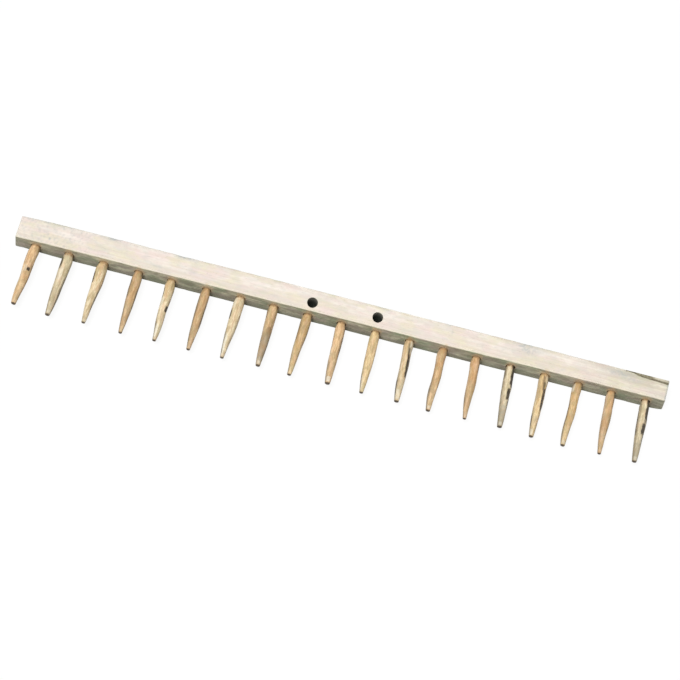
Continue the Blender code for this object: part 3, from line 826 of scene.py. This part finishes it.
# lean in degrees, shift and extra reach in metres; weathered greys the lower half; girth at the
# root, quarter, half, three quarters and tip; tone at the root, middle and tip, lighter above 0;
# edges darken the left, the right and the left near the tip, painted shade on the sides partly
# patina; flats are (facing, from, to, depth); bark and pale are (facing, half angle, place, half
# length, strength), a knot above strength 1; bend is a wave's cosine and sine in metres; stained
# is how far the warm root band, painted shadow of the bar partly stain, reaches and loose how
# much wider the socket is; facing 0 is right, 90 up and 180 left
tipLight = (90, 42, 0.955, 0.024, 0.4)  # what the top of most blunt tips catches
teeth = {
    "tooth_01": {
        "lean": -2.22, "shift": -0.00041, "extra": -0.0015, "wood": "orange", "weathered": 0.15,
        "girth": (1.17, 1.02, 1.04, 1.07, 1.22), "tone": (0.85, -0.35, 0.71),
        "edges": (0.0, 0.05, 0.0), "flats": [(20, 0.2, 0.6, 0.06)],
        "bark": [(66, 21, 0.418, 0.028, 1.1), (170, 22, 0.12, 0.1, 0.5)],
        "pale": [(108, 24, 0.415, 0.055, 0.4), (155, 30, 0.52, 0.12, 0.25)],
        "bend": (-0.0001, 0.00036),
    },
    "tooth_02": {
        "lean": -1.67, "shift": -0.00095, "extra": 0.0015, "wood": "grey", "weathered": 0.5,
        "girth": (1.17, 1.16, 1.08, 1.21, 1.15), "tone": (0.42, 0.82, -0.75),
        "edges": (0.39, 0.14, 0.9), "flats": [(15, 0.4, 0.9, 0.08)],
        "bark": [(8, 30, 0.65, 0.3, 0.5), (160, 36, 0.17, 0.1, 0.9)],
        "pale": [(110, 26, 0.36, 0.1, 0.5), tipLight], "stained": 0.045,
    },
    "tooth_03": {
        "lean": -1.65, "shift": -0.00002, "extra": 0.0, "wood": "pale", "weathered": 0.18,
        "girth": (1.16, 1.19, 1.07, 1.0, 0.94), "tone": (-0.21, 0.05, 0.57),
        "edges": (0.0, 0.14, 0.05), "flats": [(35, 0.3, 0.7, 0.05)],
        "bark": [(168, 25, 0.26, 0.1, 0.9), (10, 28, 0.62, 0.2, 0.5)], "bend": (0.00031, -0.00012),
        "stained": 0.035,
    },
    "tooth_04": {
        "lean": 0.02, "shift": 0.0012, "extra": 0.001, "wood": "brown", "weathered": 0.2,
        "girth": (1.02, 1.06, 1.02, 0.97, 0.88), "tone": (-0.64, 0.0, -0.06),
        "edges": (0.5, 0.24, 0.95), "flats": [(10, 0.3, 0.7, 0.07)],
        "bark": [(168, 29, 0.28, 0.16, 0.6), (12, 28, 0.45, 0.18, 0.5)],
        "bend": (0.00004, 0.00012),
    },
    "tooth_05": {
        "lean": 0.12, "shift": 0.0, "extra": 0.0, "wood": "pale", "weathered": 0.28,
        "girth": (1.06, 1.04, 0.94, 1.02, 0.91), "tone": (-0.71, 0.92, 0.91),
        "edges": (0.06, 0.01, 1.5), "flats": [(5, 0.2, 0.45, 0.1)],
        "bark": [(22, 44, 0.485, 0.05, 1), (18, 34, 0.39, 0.09, 0.2), (168, 27, 0.24, 0.09, 0.8)],
        "pale": [(150, 36, 0.4, 0.09, 0.6), (130, 44, 0.85, 0.1, 0.9)], "bend": (0.00005, -0.0003),
    },
    "tooth_06": {
        "lean": -1.03, "shift": 0.00151, "extra": 0.0005, "wood": "brown", "weathered": 0.2,
        "girth": (1.0, 1.03, 1.03, 1.03, 0.9), "tone": (-0.45, -0.41, 0.2),
        "edges": (0.42, 0.19, 0.9), "flats": [(15, 0.3, 0.65, 0.07)],
        "bark": [(168, 27, 0.4, 0.25, 0.4), (12, 30, 0.45, 0.18, 0.5)],
    },
    "tooth_07": {
        "lean": -1.74, "shift": 0.00144, "extra": 0.0, "wood": "pale", "weathered": 0.28,
        "girth": (1.16, 1.1, 1.1, 0.98, 0.93), "tone": (0.95, 0.93, 0.95),
        "edges": (0.0, 0.01, 1.5), "flats": [(160, 0.5, 1.0, 0.06)],
        "bark": [(168, 27, 0.3, 0.09, 0.9)],
        "pale": [(140, 44, 0.8, 0.17, 0.9), (150, 36, 0.1, 0.1, 0.4)], "bend": (0.00017, 0.00019),
    },
    "tooth_08": {
        "lean": 0.06, "shift": 0.00058, "extra": -0.0015, "wood": "brown", "weathered": 0.75,
        "girth": (1.12, 1.04, 1.0, 1.03, 1.11), "tone": (0.55, -0.6, -0.5),
        "edges": (0.25, 0.03, 0.75), "flats": [(20, 0.3, 1.0, 0.07)],
        "bark": [(70, 34, 0.48, 0.1, 0.35), (12, 30, 0.7, 0.25, 0.4), (80, 58, 0.68, 0.22, 0.24),
                 (162, 34, 0.15, 0.1, 0.5)],
        "pale": [tipLight, (160, 32, 0.35, 0.18, 0.2)], "bend": (-0.00002, 0.00014),
    },
    "tooth_09": {
        "lean": -2.72, "shift": 0.00097, "extra": 0.0, "wood": "golden", "weathered": 0.2,
        "girth": (1.11, 1.07, 0.97, 0.96, 0.99), "tone": (-0.75, -0.37, 0.07),
        "edges": (0.4, 0.04, 0.85), "flats": [(5, 0.0, 0.6, 0.05)],
        "bark": [(168, 27, 0.25, 0.2, 0.4), (10, 28, 0.3, 0.25, 0.25), (90, 70, 0.2, 0.14, 0.14)],
        "bend": (0.00012, -0.00023),
    },
    "tooth_10": {
        "lean": 0.62, "shift": 0.00063, "extra": -0.001, "wood": "orange", "weathered": 0.2,
        "girth": (1.06, 1.03, 1.05, 1.14, 1.29), "tone": (0.45, 0.26, 0.08),
        "edges": (0.0, 0.16, 0.9), "flats": [(15, 0.1, 0.9, 0.05)],
        "bark": [(4, 30, 0.1, 0.08, 0.5), (12, 28, 0.4, 0.2, 0.55)],
        "pale": [(100, 45, 0.94, 0.04, 0.8), (160, 30, 0.5, 0.14, 0.22)],
        "bend": (0.00004, -0.00018), "loose": 0.0004,
    },
    "tooth_11": {
        "lean": 0.01, "shift": 0.001, "extra": -0.0005, "wood": "golden", "weathered": 0.12,
        "girth": (0.99, 0.99, 1.03, 1.06, 0.97), "tone": (0.95, 0.79, 0.95),
        "edges": (0.0, 0.0, 0.7), "flats": [(170, 0.5, 1.0, 0.05)],
        "bark": [(168, 23, 0.8, 0.1, 0.5)], "pale": [(140, 36, 0.86, 0.1, 0.5)],
    },
    "tooth_12": {
        "lean": 0.35, "shift": 0.00132, "extra": -0.0005, "wood": "pale", "weathered": 0.3,
        "girth": (1.07, 0.93, 0.96, 1.05, 1.16), "tone": (-0.75, 0.06, 0.19),
        "edges": (0.0, 0.0, 1.0), "flats": [(20, 0.12, 0.66, 0.14)],
        "bark": [(82, 10, 0.12, 0.07, 0.5), (70, 14, 0.21, 0.08, 0.8),
                 (56, 21, 0.31, 0.07, 0.95), (48, 27, 0.41, 0.09, 1), (39, 29, 0.53, 0.08, 1),
                 (168, 25, 0.78, 0.12, 0.85)],
        "pale": [(110, 40, 0.9, 0.07, 0.5), tipLight, (160, 32, 0.36, 0.24, 0.22),
                 (35, 36, 0.1, 0.11, 0.6)],
        "bend": (0.00017, 0.00018),
    },
    "tooth_13": {
        "lean": -1.83, "shift": 0.00111, "extra": 0.001, "wood": "orange", "weathered": 0.12,
        "girth": (1.07, 0.85, 0.92, 1.06, 1.09), "tone": (-0.56, -0.05, 0.91),
        "edges": (0.04, 0.0, 1.55), "flats": [(150, 0.2, 0.7, 0.06)],
        "bark": [(168, 31, 0.46, 0.26, 0.22)], "pale": [tipLight, (160, 30, 0.12, 0.14, 0.2)],
        "bend": (0.0005, 0.00015),
    },
    "tooth_14": {
        "lean": 0.52, "shift": 0.00001, "extra": -0.0005, "wood": "orange", "weathered": 0.3,
        "girth": (1.06, 0.92, 1.0, 0.93, 0.84), "tone": (-0.43, -0.72, -0.05),
        "edges": (0.0, 0.04, 0.65), "flats": [(20, 0.1, 0.5, 0.06)],
        "bark": [(10, 30, 0.12, 0.12, 0.5), (168, 25, 0.66, 0.12, 0.25)],
        "pale": [(160, 30, 0.34, 0.18, 0.2)], "bend": (0.00043, 0.00011),
    },
    "tooth_15": {
        "lean": 1.05, "shift": 0.00016, "extra": -0.0015, "wood": "grey", "weathered": 0.9,
        "girth": (1.02, 1.02, 1.01, 1.03, 1.25), "tone": (0.91, 0.64, -0.5),
        "edges": (0.8, 0.22, 1.1), "flats": [(15, 0.0, 0.3, 0.08), (20, 0.35, 0.7, 0.1)],
        "bark": [(30, 43, 0.17, 0.18, 1), (52, 30, 0.475, 0.095, 1), (10, 34, 0.64, 0.1, 0.7),
                 (90, 75, 0.86, 0.13, 0.16), (162, 34, 0.15, 0.1, 0.45)],
        "pale": [tipLight], "bend": (-0.00002, -0.00018), "loose": 0.0004,
    },
    "tooth_16": {
        "lean": -1.59, "shift": 0.00079, "extra": 0.001, "wood": "golden", "weathered": 0.3,
        "girth": (1.08, 0.93, 0.94, 1.02, 1.14), "tone": (-0.66, 0.17, 0.84),
        "edges": (0.0, 0.0, 0.85), "flats": [(20, 0.14, 0.6, 0.14)],
        "bark": [(87, 13, 0.11, 0.07, 0.5), (74, 15, 0.2, 0.07, 0.75), (54, 20, 0.3, 0.07, 0.95),
                 (46, 27, 0.4, 0.09, 1), (38, 29, 0.51, 0.07, 1), (168, 23, 0.74, 0.1, 0.8)],
        "pale": [(125, 44, 0.94, 0.045, 0.65), (160, 32, 0.3, 0.22, 0.25),
                 (30, 34, 0.08, 0.09, 0.5)],
        "bend": (0.0002, -0.00003),
    },
    "tooth_17": {
        "lean": -3.49, "shift": 0.00039, "extra": 0.002, "wood": "golden", "weathered": 0.2,
        "girth": (1.03, 0.87, 0.94, 1.05, 1.12), "tone": (-0.75, -0.57, 0.51),
        "edges": (0.1, 0.07, 1.45), "flats": [(160, 0.3, 0.8, 0.05)],
        "bark": [(168, 29, 0.5, 0.2, 0.4), (14, 24, 0.7, 0.15, 0.4), (90, 70, 0.08, 0.12, 0.1)],
        "pale": [(150, 26, 0.1, 0.07, 0.7), tipLight], "bend": (0.00028, 0.00051),
    },
    "tooth_18": {
        "lean": -1.36, "shift": -0.0006, "extra": 0.0005, "wood": "orange", "weathered": 0.35,
        "girth": (0.99, 0.92, 0.96, 0.89, 0.87), "tone": (-0.45, -0.75, -0.34),
        "edges": (0.0, 0.18, 0.4), "flats": [(20, 0.0, 0.3, 0.06)],
        "bark": [(10, 30, 0.08, 0.1, 0.5), (90, 70, 0.52, 0.14, 0.12)],
        "pale": [(160, 32, 0.28, 0.22, 0.28)], "bend": (0.00028, 0.00004),
    },
    "tooth_19": {
        "lean": -1.05, "shift": -0.00021, "extra": -0.0005, "wood": "grey", "weathered": 0.9,
        "girth": (1.01, 1.03, 1.03, 0.98, 1.17), "tone": (0.95, 0.95, -0.5),
        "edges": (0.73, 0.22, 0.85), "flats": [(15, 0.0, 0.3, 0.08), (20, 0.35, 0.7, 0.08)],
        "bark": [(30, 43, 0.18, 0.19, 0.98), (55, 31, 0.485, 0.09, 1), (10, 32, 0.64, 0.12, 0.7),
                 (168, 21, 0.4, 0.2, 0.6), (90, 75, 0.86, 0.13, 0.16), (162, 32, 0.15, 0.1, 0.25)],
        "pale": [tipLight], "bend": (0.00003, -0.00013),
    },
}

toothWoods = {  # the middle tone, the light one and the deep one
    "pale": [(0.71, 0.510, 0.270), (0.97, 0.825, 0.56), (0.40, 0.265, 0.125)],
    "golden": [(0.68, 0.447, 0.20), (0.96, 0.745, 0.42), (0.37, 0.225, 0.09)],
    "orange": [(0.66, 0.397, 0.185), (0.94, 0.665, 0.375), (0.36, 0.195, 0.085)],
    "brown": [(0.58, 0.362, 0.17), (0.87, 0.615, 0.34), (0.31, 0.185, 0.085)],
    "grey": [(0.61, 0.473, 0.27), (0.95, 0.815, 0.56), (0.31, 0.24, 0.14)],
}

toothFinish = {
    "rosy": (0.78, 0.52, 0.33),
    "moss": (0.43, 0.38, 0.19),
    "weathered": (0.50, 0.455, 0.340),
    # darker sides and underside of the teeth: painted shade, partly patina
    "sideShadeAndPatina": (0.28, 0.230, 0.150),
    # dark warm band at each tooth's root: painted shadow of the bar, partly stain
    "rootStainAndShade": (0.34, 0.21, 0.10),
    "bark": (0.040, 0.030, 0.020),
    # painted shade on the tips' cut ends
    "shadedCutEnd": (0.110, 0.080, 0.052),
    "pale": (0.90, 0.84, 0.69),
    "roughness": 0.58,
    "specular": 0.35,
    "relief": 0.00016,
    "fineGrain": {"Length": 0.022, "Width": 0.0009, "Wander": 0.0016},
    "broadGrain": {"Length": 0.012, "Width": 0.0020, "Wander": 0.0050},
    "patches": {"Size": 0.0042, "Stretch": 2.6},
    "specks": {"Size": 0.0011, "Amount": 0.6},
}

toothWear = {
    # the underside darker: painted shade, partly patina
    "undersideShadeAndPatina": 0.45,
    "rootRightShadeAndDirt": 0.5,  # on the right side by the root: painted shade, partly soiling
    "tone": (0.45, 0.22),  # middle, and how much it wanders
    "greyLeft": 0.28,
    "tipShine": (0.12, 0.962, 0.020),  # strength, place and half length
    "rootStainShadeReach": 0.028,  # how far the darker root band reaches, as a share of the length; painted shadow of the bar, partly stain
}


def toothFrame(name, row):
    # where the tooth's axis leaves the toothed face, and its directions to the tip and the right
    low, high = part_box("head_bar")
    number = int(name[-2:]) - 10  # tooth_10 is the middle one
    lean = math.radians(row["lean"])
    root = np.array((number * toothSpec["pitch"] + row["shift"], low.y, (low.z + high.z) / 2))
    toTip = np.array((math.sin(lean), -math.cos(lean), 0.0))
    toRight = np.array((math.cos(lean), math.sin(lean), 0.0))
    return root, toTip, toRight


def tenonLength(rootX):
    # the full length, or short of a handle bore that stands right behind the tooth
    length = toothSpec["tenon"]
    beside, behind = toothSpec["clearOfBore"]
    for x, setback in boreSpec["places"]:
        if abs(rootX - x) < beside:
            length = min(length, setback - boreSpec["across"] / 2 - behind)
    return length


def girthAt(row, share):
    # the tooth's five girths as a smooth curve
    return blendOf((0.0, 0.25, 0.5, 0.75, 1.0), row["girth"], share, toothSpec["girthReach"])


def neckAt(share):
    # slimmer where the tooth enters the bar: 1 - neck * (1 - smoothStep(share / its end))
    slimmer, end = toothSpec["neck"]
    return 1.0 - slimmer * smoothStep(end, 0.0, share)


def toothSurface(name, row):
    # radius(s) = girth * (root - (root - tip) * t ^ power) past the straight part, cut by knife
    # flats d / cos(angle - facing); rows go from the tip to the tenon's end
    spec = toothSpec
    seed = int(name[-2:]) * 10
    root, toTip, toRight = toothFrame(name, row)
    reach = spec["reach"] + row["extra"] - spec["tipRoom"]
    tenon = tenonLength(root[0])
    tenonRound, tenonEnd = spec["tenonRound"]
    tipRound = spec["tipRound"]
    turn = np.linspace(0.0, math.pi / 2, 6)
    tipCap = np.linspace(0.0, 1.0, 5)[1:-1]
    along = np.linspace(reach - tipRound, 0.0, spec["rows"])[1:]
    inside = np.linspace(0.0, -tenon + tenonRound, 6)[1:]
    rounded = reach - tipRound * (1.0 - np.cos(turn))
    s = np.concatenate((reach + 0.0 * tipCap, rounded, along, inside, [-tenon]))[:, None]
    t = np.clip((s - spec["straight"]) / (reach - spec["straight"]), 0.0, 1.0)
    share = s / reach
    taper = (spec["rootRadius"] - spec["tipRadius"]) * t ** spec["taperPower"]
    radius = (spec["rootRadius"] - taper) * girthAt(row, np.maximum(share, 0.0)) * neckAt(share)
    ends = np.ones_like(s)
    flatShare = 1.0 - tipRound / spec["tipRadius"]
    ends[:len(tipCap), 0] = flatShare * tipCap
    ends[len(tipCap):len(tipCap) + len(turn), 0] = flatShare + (1.0 - flatShare) * np.sin(turn)
    ends[-1] = tenonEnd

    # a few listed knife flats and six drawn ones; each starts and stops softly along the tooth
    angle = fullTurn(spec["columns"])
    up, side = np.sin(angle), np.cos(angle)
    dice = np.random.default_rng(seed)
    flats = list(row["flats"])
    drawn = spec["drawnFlats"]
    even = 360.0 / drawn["count"]
    for facing in np.arange(drawn["count"]) * even + dice.uniform(0.0, even):
        start = dice.uniform(*drawn["start"])
        flats.append((facing + dice.uniform(*drawn["turn"]), start,
                      start + dice.uniform(*drawn["length"]), dice.uniform(*drawn["depth"])))
    power = spec["facetSharpness"]
    inverse = radius ** -power + 0.0 * angle
    for facing, start, stop, depth in flats:
        stroke = smoothStep(start - 0.08, start + 0.06, share)
        stroke = stroke * smoothStep(stop + 0.08, stop - 0.06, share)
        cosine = np.cos(angle - math.radians(facing) - 0.12 * ripple(seed + 1, share / 0.3))
        distance = radius * (1.04 - (0.04 + depth) * stroke)
        inverse = inverse + (np.maximum(cosine, 0.05) / distance) ** power
    carved = inverse ** (-1.0 / power)
    outside = smoothStep(-0.01, 0.05, share)
    broad, fine = spec["uneven"]
    carved = carved * (1.0 + broad * outside * ripple(seed + 2, side * 1.2, up * 1.2, share / 0.09))
    carved = carved * (1.0 + fine * outside * ripple(seed + 3, side * 3, up * 3, share / 0.25))

    def spots(rows, ragged):
        # the strongest of strength * smoothStep(spot * (1 + ragged * ripple)), with
        # spot = exp(-(turn / half angle) ^ 4 - (along / half length) ^ 4)
        field = 0.0 * carved
        uneven = ragged * ripple(seed + 10, 2.2 * side, 2.2 * up, share / 0.05)
        for facing, halfAngle, middle, halfLength, strength in rows:
            apart = np.abs((np.degrees(angle) - facing + 180.0) % 360.0 - 180.0)
            spot = np.exp(-(apart / halfAngle) ** 4 - ((share - middle) / halfLength) ** 4)
            field = np.maximum(field, strength * smoothStep(0.12, 0.62, spot * (1.0 + uneven)))
        return field

    bark = spots(row["bark"], 0.35)
    knots = spots([spot for spot in row["bark"] if spot[4] > 1.0], 0.0)
    carved = carved * ends * (1.0 - spec["knotDent"] * knots)

    start, length = spec["bendWave"]
    phase = math.tau * (share - start) / length
    first, second = row.get("bend", (0.0, 0.0))
    aside, above = spec["stray"]
    bend = aside * ripple(seed + 4, share / 0.45) - first * np.cos(phase) - second * np.sin(phase)
    bend = outside * bend
    lift = above * outside * ripple(seed + 5, share / 0.5)
    sideways = bend + carved * side
    grid = root + s[..., None] * toTip + sideways[..., None] * toRight
    grid[..., 2] += lift + carved * up
    tip = root + reach * toTip + np.array((0.0, 0.0, lift[0, 0])) + bend[0, 0] * toRight

    wear = toothWear
    # darker sides and underside: painted shade, partly patina; darker still on the right side by
    # the root
    left, right, leftTip = row["edges"]
    leftward = left + (leftTip - left) * smoothStep(0.50, 0.75, share)
    rightward = right + wear["rootRightShadeAndDirt"] * smoothStep(0.14, 0.02, share)
    sideShadeAndPatina = leftward * smoothStep(-0.30, -0.95, side) + rightward * smoothStep(0.35, 0.90, side)
    sideShadeAndPatina = sideShadeAndPatina * (0.8 + 0.3 * ripple(seed + 8, share / 0.11, side * 1.5))
    below = wear["undersideShadeAndPatina"] * smoothStep(0.1, -0.6, up)
    middle, wander = wear["tone"]
    tone = middle + blendOf((0.1, 0.5, 0.9), row["tone"], share, spec["toneReach"])
    tone = tone + wander * ripple(seed + 7, side, up, share / 0.16)
    strength, middle, half = wear["tipShine"]
    tipShine = strength * bell(share - middle, half) * np.clip(1.6 * up - 0.6, 0.0, 1.0)
    greyed = smoothStep(0.25, 0.95, share + 0.12 * ripple(seed + 6, share / 0.2))
    greyed = row["weathered"] * greyed * (0.65 + 0.35 * up)
    leftGrey = wear["greyLeft"] * smoothStep(-0.25, -0.90, side) * smoothStep(0.30, 0.70, share)
    reached = row.get("stained", wear["rootStainShadeReach"])
    fromRoot = share + 0.006 * ripple(seed + 9, 0.0 * angle + side * 2.0)
    masks = {
        "bark": bark,
        "sideShadeAndPatina": np.maximum(sideShadeAndPatina, below),
        "weathered": np.maximum(greyed, leftGrey),
        # darker warm band at the root: painted shadow of the bar over the root, partly stain
        "rootStainAndShade": smoothStep(reached * 1.4, reached * 0.4, fromRoot),
        "light": tone,
        "pale": spots(row.get("pale", []), 0.25) + tipShine,
        # the tip's cut end: painted shade on the end face that turns away from the light
        "shadedCutEnd": smoothStep(0.9900, 0.9970, share),
    }
    masks = {key: value + 0.0 * carved for key, value in masks.items()}
    return grid, (tip, root - tenon * toTip), masks


def socketCutter(name, row, material):
    # a blind round hole on the tooth's axis, a gap wider and deeper, with a worn mouth
    spec = socketSpec
    root, toTip, toRight = toothFrame(name, row)
    angle = fullTurn(spec["columns"])
    depth = np.array(spec["depths"])
    outermost = -depth[0]
    bottom = tenonLength(root[0]) + spec["gap"]
    depth = np.concatenate((depth[depth < bottom - 0.0002], [bottom]))[:, None]
    radius = toothSpec["rootRadius"] * girthAt(row, 0.0) * neckAt(0.0)
    radius = radius + spec["gap"] + row.get("loose", 0.0)
    flare, fade = spec["mouthFlare"]
    uneven = 1.0 + 0.6 * ripple(int(name[-2:]) * 10 + 8, np.cos(angle), np.sin(angle))
    radius = radius + flare * np.exp(-np.maximum(depth, 0.0) / fade) * uneven
    grid = root - depth[..., None] * toTip + (radius * np.cos(angle))[..., None] * toRight
    grid[..., 2] += radius * np.sin(angle)
    poles = root + outermost * toTip, root - bottom * toTip
    return newPiece("socketCutter", surfaceMesh("socketCutter", grid, *poles), material)


def makeToothWood(name, wood, finish):
    # streaks along the tooth between the wood's three tones, then weathering, stains, painted shade
    # and a painted tip highlight by mask
    middle, light, deep = wood
    material, tree, shader, place = newMaterial(name, finish["roughness"], finish["specular"])
    quarter = {"Vector": place, "Rotation": (0.0, 0.0, math.pi / 2)}
    turned = addNode(tree, "ShaderNodeMapping", quarter).outputs[0]
    fine = useGroup(tree, "fibre", turned, finish["fineGrain"])
    broad = useGroup(tree, "fibre", turned, finish["broadGrain"])
    patches = useGroup(tree, "patches", turned, finish["patches"])
    specks = useGroup(tree, "specks", turned, finish["specks"])["Mask"]

    streaks = between(tree, broad["Streak"], 0.0, 1.0, -0.50, 0.50)
    lighter = maths(tree, "ADD", maskOf(tree, "light"), streaks, clamp=True)
    colour = layered(
        tree, blendColour(tree, lighter, middle, light),
        (patches["First"], 0.52, finish["rosy"]), (patches["Second"], 0.44, finish["moss"]),
        (between(tree, broad["Fibre"], 0.35, 0.95), 0.34, deep),
        (between(tree, fine["Streak"], 0.40, 1.0), 0.24, deep), (specks, 0.35, deep))
    colour = stained(tree, turned, colour, finish, (
        ("weathered", 0.004, 0.5), ("pale", 0.003, 0.35), ("sideShadeAndPatina", 0.003, 0.35),
        ("rootStainAndShade", 0.002, 0.3), ("shadedCutEnd", 0.001, 0.1), ("bark", 0.0022, 0.07)))
    feed(tree, shader["Base Color"], colour)
    height = maths(tree, "SUBTRACT", fine["Relief"], maths(tree, "MULTIPLY", specks, 0.5))
    addRelief(tree, shader, height, finish["relief"])
    return material


# making the pieces

def makeBar():
    # the bar's surface, less every bore and socket in one exact cut, with masks for its wood
    boreWall = makeHoleWood("boreWall", boreSpec)
    socketWall = makeHoleWood("socketWall", socketSpec)
    grid, poles = barSurface(barSpec)
    bar = newPiece("rakeBar", surfaceMesh("rakeBar", grid, *poles), makeBarWood(barWood))
    cutters = bpy.data.collections.new("cutters")
    scene.collection.children.link(cutters)
    pieces = [boreCutter(x, setback, boreWall) for x, setback in boreSpec["places"]]
    pieces += [socketCutter(name, row, socketWall) for name, row in teeth.items()]
    for piece in pieces:
        scene.collection.objects.unlink(piece)
        cutters.objects.link(piece)
    cut = bar.modifiers.new("holes", "BOOLEAN")
    cut.operation = "DIFFERENCE"
    cut.operand_type = "COLLECTION"
    cut.collection = cutters
    cut.solver = "EXACT"
    cut.material_mode = "TRANSFER"
    graph = bpy.context.evaluated_depsgraph_get()
    mesh = bpy.data.meshes.new_from_object(bar.evaluated_get(graph), depsgraph=graph)
    bar.modifiers.clear()
    bar.data = mesh
    for piece in pieces:
        bpy.data.objects.remove(piece, do_unlink=True)
    bpy.data.collections.remove(cutters)
    mesh.shade_smooth()
    mesh.set_sharp_from_angle(angle=math.radians(barSpec["sharpFrom"]))
    barMasks(mesh, [toothFrame(name, row)[0][[0, 2]] for name, row in teeth.items()])
    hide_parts("head_bar")
    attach(bar, "root")
    print("bar ready:", len(mesh.polygons), "faces")


def makeTeeth():
    # each tooth from its own row of the table, in one of the five woods
    woods = {}
    for key, wood in toothWoods.items():
        woods[key] = makeToothWood(f"{key}Tooth", wood, toothFinish)
    for name, row in teeth.items():
        grid, poles, masks = toothSurface(name, row)
        mesh = surfaceMesh(f"{name}_carved", grid, *poles)
        mesh.shade_smooth()
        for key, values in masks.items():
            setMask(mesh, key, np.append(values, values[[0, -1], 0]))
        tooth = newPiece(f"{name}_carved", mesh, woods[row["wood"]])
        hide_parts(name)
        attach(tooth, "root")
    print("teeth ready:", len(teeth))


makeBar()
makeTeeth()

print("scene ready")
